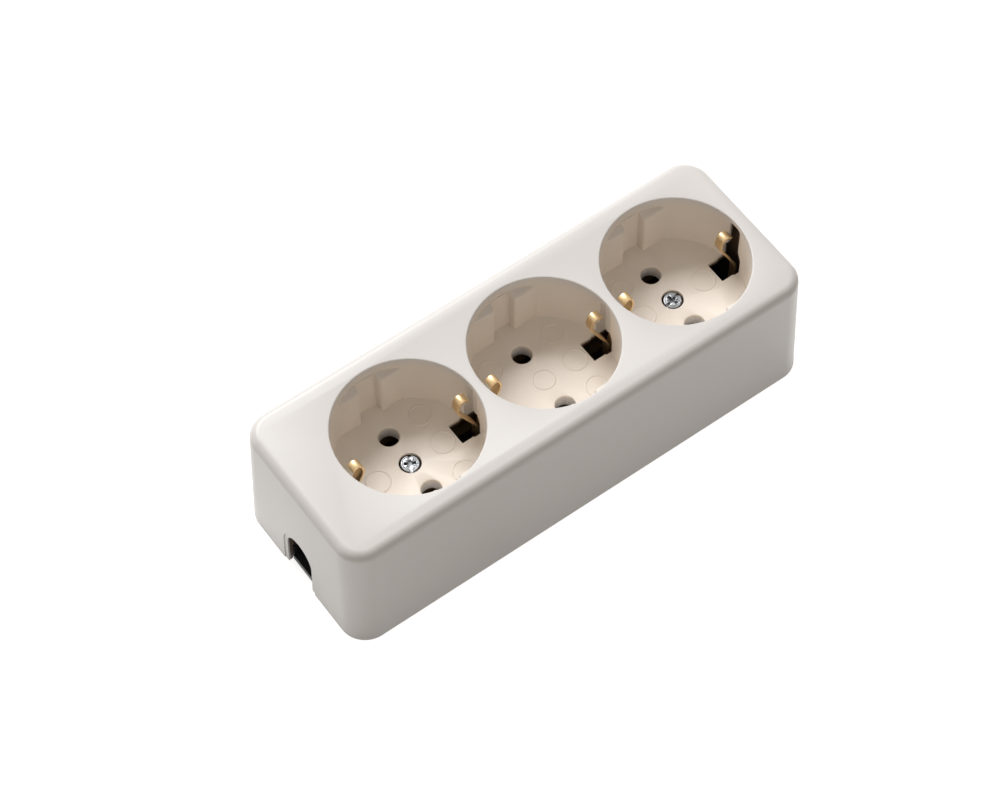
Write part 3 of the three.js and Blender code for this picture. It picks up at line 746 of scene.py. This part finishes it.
def clip_arm():
    """One spring arm: a strip run out, up, in to its nose and over the top, then thickened."""
    clip = bpy.context.scene.socket_clip
    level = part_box("earth_clip_1")[0][2] + clip.thickness / 2
    wall = bpy.context.scene.socket_well.radius
    points = [
        (wall + clip.root - CLIP_RUN, level),
        (wall + clip.root, level),
        (wall + clip.root, HEIGHT - SHOULDER_DROP),
        (wall - clip.nose - CLIP_SWELL, HEIGHT - NOSE_DROP),
        (wall - clip.top - CLIP_SWELL, HEIGHT - TOP_DROP),
        (wall - clip.tip, HEIGHT - TIP_DROP),
    ]
    path = bent_line(points, clip.bend, 8)
    bpy.ops.mesh.primitive_plane_add(size=clip.width)
    arm = bpy.context.object
    arm.name = "arm"
    half = clip.width / 2
    mesh = edit(arm)
    ends = [v for v in mesh.verts if v.co.x > 0]
    bmesh.ops.delete(mesh, geom=[v for v in mesh.verts if v.co.x < 0], context="VERTS")
    for vert in ends:
        vert.co = (path[0].x, half if vert.co.y > 0 else -half, path[0].y)
    bmesh.update_edit_mesh(arm.data)
    bpy.ops.mesh.select_mode(type="EDGE")
    bpy.ops.mesh.select_all(action="SELECT")
    for a, b in zip(path, path[1:]):
        bpy.ops.mesh.extrude_region_move(TRANSFORM_OT_translate={"value": (b.x - a.x, 0, b.y - a.y)})
    bpy.ops.mesh.select_all(action="SELECT")
    bpy.ops.mesh.normals_make_consistent(inside=False)
    leave(arm)
    apply_modifier(arm, "SOLIDIFY", thickness=clip.thickness, offset=0)
    return apply_modifier(
        arm, "BEVEL", width=STRIP_EDGE, segments=2, limit_method="ANGLE", angle_limit=radians(50))


class SOCKETBLOCK_OT_earth_clips(bpy.types.Operator):
    """Models the three brass earth clips, each a riveted foot with two spring arms"""

    bl_idname = "socketblock.earth_clips"
    bl_label = "Earth clips"

    def execute(self, context):
        clip = context.scene.socket_clip
        low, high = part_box("earth_clip_1")
        half_y = (high[1] - low[1]) / 2
        foot_x = context.scene.socket_well.radius + clip.root - 2 * clip.thickness
        foot = box("foot", (-foot_x, -half_y, low[2]), (foot_x, half_y, low[2] + clip.thickness))
        edit(foot)
        pick_edges(foot, lambda a, b: abs(a.z - b.z) > clip.thickness / 2)
        bpy.ops.mesh.bevel(offset=half_y / 2, segments=6)
        leave(foot)
        below = low[2] - OVERSHOOT
        above = low[2] + OVERSHOOT
        combine(foot, cylinder("centre", FOOT_HOLE, below, above, vertices=48), "DIFFERENCE")
        for side in (-1, 1):
            hole = cylinder("rivet_hole", RIVET_HOLE, below, above, side * RIVET_REACH, vertices=24)
            combine(foot, hole, "DIFFERENCE")
        arm = clip_arm()
        combine(foot, half_turn(copy_of(arm, "arm_back")), "UNION")
        combine(foot, arm, "UNION")
        smooth(foot, 40)
        coat(foot, brass())
        for i, x in enumerate(WELL_X):
            piece = foot if i == len(WELL_X) - 1 else copy_of(foot, "piece")
            piece.name = f"earth_spring_{i + 1}"
            shift(piece, x)
            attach(piece, "root")
            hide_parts(f"earth_clip_{i + 1}")
        return {"FINISHED"}


# Screws

def screw_profile(radius, low, top):
    """From the point up the shank and over the head, with a shallow groove round its top."""
    seat = top - HEAD_HEIGHT
    shank = [(POINT_RADIUS, low), (SHANK_RADIUS, low + POINT_LENGTH), (SHANK_RADIUS, seat)]
    edge = arc((radius - HEAD_EDGE, top - HEAD_FALL - HEAD_EDGE), HEAD_EDGE, 0, 90, 5)
    foot = top - GROOVE_DEPTH
    ring_groove = [(radius * 0.84, top - HEAD_FALL), (radius * 0.81, foot), (radius * 0.77, foot)]
    crown = [(radius * 0.73, top), (0, top)]
    return [(0, low), *shank, (radius, seat), (radius, top - HEAD_SIDE), *edge, *ring_groove, *crown]


def groove(name, half_x, half_y, depth, top):
    """A box that cuts down from the top of the head."""
    return box(name, (-half_x, -half_y, top - depth), (half_x, half_y, top + OVERSHOOT))


class SOCKETBLOCK_OT_cover_screws(bpy.types.Operator):
    """Models the two cover screws with a combined slot and cross recess"""

    bl_idname = "socketblock.cover_screws"
    bl_label = "Cover screws"

    def execute(self, context):
        low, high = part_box("cover_screw_1")
        top = high[2]
        radius = (high[0] - low[0]) / 2
        screw = turned("screw", screw_profile(radius, low[2], top), 64)
        for turn in (45, 135):
            mark = groove("mark", MARK_REACH, MARK_WIDTH / 2, MARK_DEPTH, top)
            mark.rotation_euler = (0, 0, radians(turn))
            place_in_mesh(mark)
            combine(screw, mark, "DIFFERENCE")
        half = SCREW_SLOT / 2
        combine(screw, groove("slot", radius + OVERSHOOT, half, SLOT_DEPTH, top), "DIFFERENCE")
        for name, half_x, half_y in (("cross", half, CROSS_REACH), ("bar", CROSS_REACH, half)):
            tool = groove(name, half_x, half_y, CROSS_DEPTH, top)
            edit(tool)
            pick_verts(tool, lambda co: co.z < top)
            taper = (CROSS_TAPER, 1, 1) if half_x > half_y else (1, CROSS_TAPER, 1)
            bpy.ops.transform.resize(value=taper)
            leave(tool)
            combine(screw, tool, "DIFFERENCE")
        apply_modifier(
            screw, "BEVEL", width=RECESS_EDGE, segments=2, limit_method="ANGLE", angle_limit=radians(40))
        smooth(screw, 35)
        coat(screw, zinc_plate())
        for i, (x, turn) in enumerate(zip((WELL_X[0], WELL_X[-1]), SCREW_TURNS)):
            piece = screw if i == 1 else copy_of(screw, "piece")
            piece.name = f"cover_fastener_{i + 1}"
            piece.rotation_euler = (0, 0, radians(turn))
            shift(piece, x)
            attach(piece, "root")
            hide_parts(f"cover_screw_{i + 1}")
        return {"FINISHED"}


# Materials

def shader(name, color, roughness, metallic=0.0):
    """A new Principled material; gives its material, nodes, links and shader node."""
    material = bpy.data.materials.new(name)
    material.use_nodes = True
    nodes = material.node_tree.nodes
    principled = nodes["Principled BSDF"]
    principled.inputs["Base Color"].default_value = (*color, 1)
    principled.inputs["Roughness"].default_value = roughness
    principled.inputs["Metallic"].default_value = metallic
    return material, nodes, material.node_tree.links, principled


def noise(nodes, links, scale, detail=3.0, stretch=(1, 1, 1)):
    place = nodes.new("ShaderNodeTexCoord")
    mapping = nodes.new("ShaderNodeMapping")
    mapping.inputs["Scale"].default_value = stretch
    pattern = nodes.new("ShaderNodeTexNoise")
    pattern.inputs["Scale"].default_value = scale
    pattern.inputs["Detail"].default_value = detail
    links.new(place.outputs["Object"], mapping.inputs["Vector"])
    links.new(mapping.outputs["Vector"], pattern.inputs["Vector"])
    return pattern


def vary(nodes, links, source, socket, low, high):
    """Runs a pattern into a socket, between two values."""
    spread = nodes.new("ShaderNodeMapRange")
    spread.inputs["To Min"].default_value = low
    spread.inputs["To Max"].default_value = high
    links.new(source.outputs["Fac"], spread.inputs["Value"])
    links.new(spread.outputs["Result"], socket)


def tint(nodes, links, source, socket, first, second):
    mix = nodes.new("ShaderNodeMix")
    mix.data_type = "RGBA"
    mix.inputs["A"].default_value = (*first, 1)
    mix.inputs["B"].default_value = (*second, 1)
    links.new(source.outputs["Fac"], mix.inputs["Factor"])
    links.new(mix.outputs["Result"], socket)


def relief(nodes, links, source, principled, strength, distance):
    bump = nodes.new("ShaderNodeBump")
    bump.inputs["Strength"].default_value = strength
    bump.inputs["Distance"].default_value = distance
    links.new(source.outputs["Fac"], bump.inputs["Height"])
    links.new(bump.outputs["Normal"], principled.inputs["Normal"])


def found(name):
    return bpy.data.materials.get(name)


def calculate(nodes, links, operation, *values):
    """A math node; each value is a number or another node's output."""
    node = nodes.new("ShaderNodeMath")
    node.operation = operation
    for socket, value in zip(node.inputs, values):
        if isinstance(value, (int, float)):
            socket.default_value = value
        else:
            links.new(value, socket)
    return node.outputs["Value"]


def ramp(nodes, links, source, start, end):
    """Runs from 0 to 1 while the source runs from start to end."""
    spread = nodes.new("ShaderNodeMapRange")
    spread.inputs["From Min"].default_value = start
    spread.inputs["From Max"].default_value = end
    links.new(source, spread.inputs["Value"])
    return spread.outputs["Result"]


def mix_by(nodes, links, share, first, second):
    mix = nodes.new("ShaderNodeMix")
    mix.data_type = "RGBA"
    mix.inputs["B"].default_value = (*second, 1)
    links.new(first, mix.inputs["A"])
    links.new(share, mix.inputs["Factor"])
    return mix.outputs["Result"]


def painted_shade_zones(nodes, links):
    """Two masks of painted shade from a point's place: warm shade inside a well, and dark shade inside the
    closed hollow.
    """
    place = nodes.new("ShaderNodeTexCoord")
    split = nodes.new("ShaderNodeSeparateXYZ")
    links.new(place.outputs["Object"], split.inputs["Vector"])
    x, y, z = split.outputs

    def math(operation, *values):
        return calculate(nodes, links, operation, *values)

    pitch = WELL_X[1] - WELL_X[0]
    well = bpy.context.scene.socket_well
    cover = bpy.context.scene.socket_cover
    along = math("SUBTRACT", x, WELL_X[1])
    number = math("ROUND", math("DIVIDE", along, pitch))
    number = math("MINIMUM", math("MAXIMUM", number, -1), 1)
    offset = math("SUBTRACT", along, math("MULTIPLY", number, pitch))
    distance = math("SQRT", math("ADD", math("MULTIPLY", offset, offset), math("MULTIPLY", y, y)))
    # Painted warm shade: full inside a well's wall, fading in with depth below the top.
    inside = ramp(nodes, links, distance, well.radius + well.rim, well.radius + WELL_SHADE_EDGE)
    deep = ramp(nodes, links, z, HEIGHT - WELL_SHADE_START, HEIGHT - WELL_SHADE_FULL)
    # For the painted dark shade of the hollow: what stays pale round the pin holes and behind the notch.
    past_pin = math("SUBTRACT", math("ABSOLUTE", y), well.pin_spacing / 2)
    squares = math("ADD", math("MULTIPLY", offset, offset), math("MULTIPLY", past_pin, past_pin))
    clear = math("MULTIPLY", math("GREATER_THAN", math("SQRT", squares), well.pin_hole / 2 + PALE_SLEEVE),
                 math("GREATER_THAN", x, COVER_LOW[0] + PALE_END))
    floor = HEIGHT - well.depth
    painted_well_shade = math("MULTIPLY", math("MULTIPLY", inside, deep), math("GREATER_THAN", z, floor - well.floor / 2))

    # Painted dark shade on the hollow's inner faces, under the floors and beside the end wells.
    skin = math("MULTIPLY", z, cover.draft / HEIGHT)
    past_x = math("SUBTRACT", math("ADD", math("ABSOLUTE", x), skin), COVER_HIGH[0] - cover.corner)
    past_y = math("SUBTRACT", math("ADD", math("ABSOLUTE", y), skin), COVER_HIGH[1] - cover.corner)
    past_x = math("MAXIMUM", past_x, 0)
    past_y = math("MAXIMUM", past_y, 0)
    out = math("SQRT", math("ADD", math("MULTIPLY", past_x, past_x), math("MULTIPLY", past_y, past_y)))
    within = math("LESS_THAN", out, cover.corner - cover.wall / 2)
    under = math("MULTIPLY", clear, math("LESS_THAN", z, floor - well.floor / 2))
    beyond = math("GREATER_THAN", math("ABSOLUTE", along), pitch + well.radius + well.wall / 2)
    beside = math("MULTIPLY", beyond, math("LESS_THAN", z, HEIGHT - cover.roof / 2))
    return painted_well_shade, math("MULTIPLY", within, math("MAXIMUM", under, beside))


def white_plastic():
    """Satin moulded white, faintly uneven, with painted warm shade deep in the wells and painted dark shade in
    the closed hollow.
    """
    if found("white_moulding"):
        return found("white_moulding")
    finish = bpy.context.scene.socket_finish
    color = Vector(finish.white)
    material, nodes, links, principled = shader("white_moulding", color, 0.3)
    principled.inputs["IOR"].default_value = 1.5
    cloud = nodes.new("ShaderNodeMix")
    cloud.data_type = "RGBA"
    cloud.inputs["A"].default_value = (*(color * 0.985), 1)
    cloud.inputs["B"].default_value = (*(color * 1.01), 1)
    links.new(noise(nodes, links, 35).outputs["Fac"], cloud.inputs["Factor"])
    painted_well_shade, painted_hollow_shade = painted_shade_zones(nodes, links)
    # Painted shade: a warm tint deep in the wells, then dark brown on the hollow's inner faces.
    with_well_shade = mix_by(nodes, links, painted_well_shade, cloud.outputs["Result"], finish.well)
    with_hollow_shade = mix_by(nodes, links, painted_hollow_shade, with_well_shade, finish.hollow)
    links.new(with_hollow_shade, principled.inputs["Base Color"])
    vary(nodes, links, noise(nodes, links, 260), principled.inputs["Roughness"], 0.3, 0.4)
    relief(nodes, links, noise(nodes, links, 2600, 2), principled, 0.05, 0.02 * MM)
    return material


def black_plastic():
    if found("black_moulding"):
        return found("black_moulding")
    color = Vector(bpy.context.scene.socket_finish.black)
    material, nodes, links, principled = shader("black_moulding", color, 0.42)
    vary(nodes, links, noise(nodes, links, 300), principled.inputs["Roughness"], 0.36, 0.5)
    relief(nodes, links, noise(nodes, links, 1800, 2), principled, 0.12, 0.03 * MM)
    return material


def brass():
    """Rolled brass, with fine rolling lines and a slightly uneven tone."""
    if found("rolled_brass"):
        return found("rolled_brass")
    color = Vector(bpy.context.scene.socket_finish.brass)
    material, nodes, links, principled = shader("rolled_brass", color, 0.35, 0.88)
    tint(nodes, links, noise(nodes, links, 220), principled.inputs["Base Color"], color * 0.85, color * 1.05)
    lines = noise(nodes, links, 500, 2, (1, 8, 1))
    vary(nodes, links, lines, principled.inputs["Roughness"], 0.3, 0.46)
    relief(nodes, links, lines, principled, 0.08, 0.02 * MM)
    return material


def shade_darkened_brass():
    """Brass darkened and dulled as painted shade, for the bars and the rail inside."""
    if found("shade_darkened_brass"):
        return found("shade_darkened_brass")
    color = Vector(bpy.context.scene.socket_finish.hidden_brass_shade)
    material, nodes, links, principled = shader("shade_darkened_brass", color, 0.6, 1.0)
    vary(nodes, links, noise(nodes, links, 120), principled.inputs["Roughness"], 0.5, 0.7)
    return material


def zinc_plate():
    if found("zinc_plate"):
        return found("zinc_plate")
    color = Vector(bpy.context.scene.socket_finish.zinc)
    material, nodes, links, principled = shader("zinc_plate", color, 0.3, 1.0)
    tint(nodes, links, noise(nodes, links, 700), principled.inputs["Base Color"], color * 0.8, color * 1.15)
    vary(nodes, links, noise(nodes, links, 900), principled.inputs["Roughness"], 0.24, 0.42)
    relief(nodes, links, noise(nodes, links, 1500, 2), principled, 0.15, 0.02 * MM)
    return material


FINISHES = {
    "white_plastic": white_plastic,
    "black_plastic": black_plastic,
    "brass": brass,
    "zinc_steel": zinc_plate,
}
# Bars hidden inside the cover, whose brass is darkened as painted shade
HIDDEN_BRASS = ("live_busbar", "neutral_busbar", "earth_rail")


class SOCKETBLOCK_OT_finishes(bpy.types.Operator):
    """Gives every piece of the frame the finish of its slot; the hidden brass bars get brass darkened as
    painted shade
    """

    bl_idname = "socketblock.finishes"
    bl_label = "Finishes"

    def execute(self, context):
        slots = {row["node"]: row["material_slot"] for row in frame["record"]["subparts"]}
        for name, node in frame["nodes"].items():
            finish = shade_darkened_brass() if name in HIDDEN_BRASS else FINISHES[slots[name]]()
            if not node.material_slots:
                node.data.materials.append(finish)
            for slot in node.material_slots:
                slot.material = finish
        return {"FINISHED"}


# Stage

def shown(nodes, links):
    """1 where the surroundings are seen, by the camera or in a piece, and 0 where they give light."""
    path = nodes.new("ShaderNodeLightPath").outputs
    seen = calculate(nodes, links, "MAXIMUM", path["Is Camera Ray"], path["Is Glossy Ray"])
    return calculate(nodes, links, "MAXIMUM", seen, path["Is Transmission Ray"])


def glowing_floor():
    """A floor that shows nearly white to the camera, keeps the block's shadow and is clear from below."""
    material, nodes, links, principled = shader("floor_white", (0.8, 0.8, 0.8), 0.9)
    principled.inputs["Specular IOR Level"].default_value = 0
    glow = nodes.new("ShaderNodeEmission")
    glow.inputs["Strength"].default_value = FLOOR_GLOW
    both = nodes.new("ShaderNodeAddShader")
    choose = nodes.new("ShaderNodeMixShader")
    links.new(principled.outputs["BSDF"], both.inputs[0])
    links.new(glow.outputs["Emission"], both.inputs[1])
    links.new(shown(nodes, links), choose.inputs["Fac"])
    links.new(principled.outputs["BSDF"], choose.inputs[1])
    links.new(both.outputs["Shader"], choose.inputs[2])
    side = nodes.new("ShaderNodeNewGeometry")
    one_sided = nodes.new("ShaderNodeMixShader")
    length = nodes.new("ShaderNodeLightPath").outputs["Ray Length"]
    touching = calculate(nodes, links, "LESS_THAN", length, FIT)
    clear = calculate(nodes, links, "MAXIMUM", side.outputs["Backfacing"], touching)
    links.new(clear, one_sided.inputs["Fac"])
    links.new(choose.outputs["Shader"], one_sided.inputs[1])
    links.new(nodes.new("ShaderNodeBsdfTransparent").outputs["BSDF"], one_sided.inputs[2])
    links.new(one_sided.outputs["Shader"], nodes["Material Output"].inputs["Surface"])
    return material


def soft_lamp(name, place, aim, size, power):
    light = bpy.data.lights.new(name, "AREA")
    light.shape = "RECTANGLE"
    light.size, light.size_y = size
    light.energy = power
    lamp = bpy.data.objects.new(name, light)
    bpy.context.collection.objects.link(lamp)
    lamp.location = place
    lamp.rotation_euler = (Vector(aim) - Vector(place)).to_track_quat("-Z", "Y").to_euler()
    return lamp


class SOCKETBLOCK_OT_stage(bpy.types.Operator):
    """Adds the floor, the soft light and the camera"""

    bl_idname = "socketblock.stage"
    bl_label = "Stage"

    def execute(self, context):
        stage = context.scene.socket_stage
        bpy.ops.mesh.primitive_plane_add(size=6, location=(0, 0, -FLOOR_DROP))
        floor = context.object
        floor.name = "floor"
        floor.data.materials.append(glowing_floor())

        soft_lamp("key", KEY_PLACE, KEY_AIM, KEY_SIZE, stage.key)

        world = bpy.data.worlds.new("sky")
        context.scene.world = world
        world.use_nodes = True
        nodes = world.node_tree.nodes
        links = world.node_tree.links
        sky = nodes["Background"]
        sky.inputs["Color"].default_value = SKY_COLOR
        sky.inputs["Strength"].default_value = stage.fill
        white = nodes.new("ShaderNodeBackground")
        choose = nodes.new("ShaderNodeMixShader")
        links.new(shown(nodes, links), choose.inputs["Fac"])
        links.new(sky.outputs["Background"], choose.inputs[1])
        links.new(white.outputs["Background"], choose.inputs[2])
        links.new(choose.outputs["Shader"], nodes["World Output"].inputs["Surface"])

        data = bpy.data.cameras.new("photo_camera")
        data.lens = stage.lens
        data.sensor_width = 36
        data.sensor_fit = "HORIZONTAL"
        data.clip_start = 0.01
        camera = bpy.data.objects.new("photo_camera", data)
        context.collection.objects.link(camera)
        sight = Vector(stage.target) - Vector(stage.eye)
        turn = sight.to_track_quat("-Z", "Y").to_matrix()
        right = turn @ Vector((1, 0, 0))
        up = turn @ Vector((0, 1, 0))
        tilted = cos(stage.roll) * right + sin(stage.roll) * up
        upright = cos(stage.roll) * up - sin(stage.roll) * right
        basis = camera.matrix_world.to_3x3()
        basis.col[0], basis.col[1], basis.col[2] = tilted, upright, -sight.normalized()
        camera.matrix_world = basis.to_4x4()
        camera.location = stage.eye
        context.scene.camera = camera

        context.scene.view_settings.view_transform = "Standard"
        return {"FINISHED"}


class SOCKETBLOCK_PT_panel(bpy.types.Panel):
    """Lists the steps that dress the block"""

    bl_idname = "SOCKETBLOCK_PT_panel"
    bl_label = "Socket block"
    bl_space_type = "VIEW_3D"
    bl_region_type = "UI"
    bl_category = "Socket block"

    def draw(self, context):
        for operator in OPERATORS:
            self.layout.operator(operator.bl_idname)
        for group in SETTINGS:
            column = self.layout.column()
            for name in SETTINGS[group].__annotations__:
                column.prop(getattr(context.scene, group), name)


SETTINGS = {
    "socket_cover": CoverSettings,
    "socket_well": WellSettings,
    "socket_clip": ClipSettings,
    "socket_finish": FinishSettings,
    "socket_stage": StageSettings,
}
OPERATORS = (
    SOCKETBLOCK_OT_stage,
    SOCKETBLOCK_OT_cover,
    SOCKETBLOCK_OT_earth_clips,
    SOCKETBLOCK_OT_cover_screws,
    SOCKETBLOCK_OT_finishes,
)


def register():
    for cls in (*SETTINGS.values(), *OPERATORS, SOCKETBLOCK_PT_panel):
        bpy.utils.register_class(cls)
    for name, group in SETTINGS.items():
        setattr(bpy.types.Scene, name, bpy.props.PointerProperty(type=group))


def unregister():
    for name in SETTINGS:
        delattr(bpy.types.Scene, name)
    for cls in (SOCKETBLOCK_PT_panel, *reversed(OPERATORS), *reversed(list(SETTINGS.values()))):
        bpy.utils.unregister_class(cls)


def main():
    register()
    bpy.ops.socketblock.stage()
    bpy.ops.socketblock.cover()
    bpy.ops.socketblock.earth_clips()
    bpy.ops.socketblock.cover_screws()
    bpy.ops.socketblock.finishes()


if __name__ == "__main__":
    main()
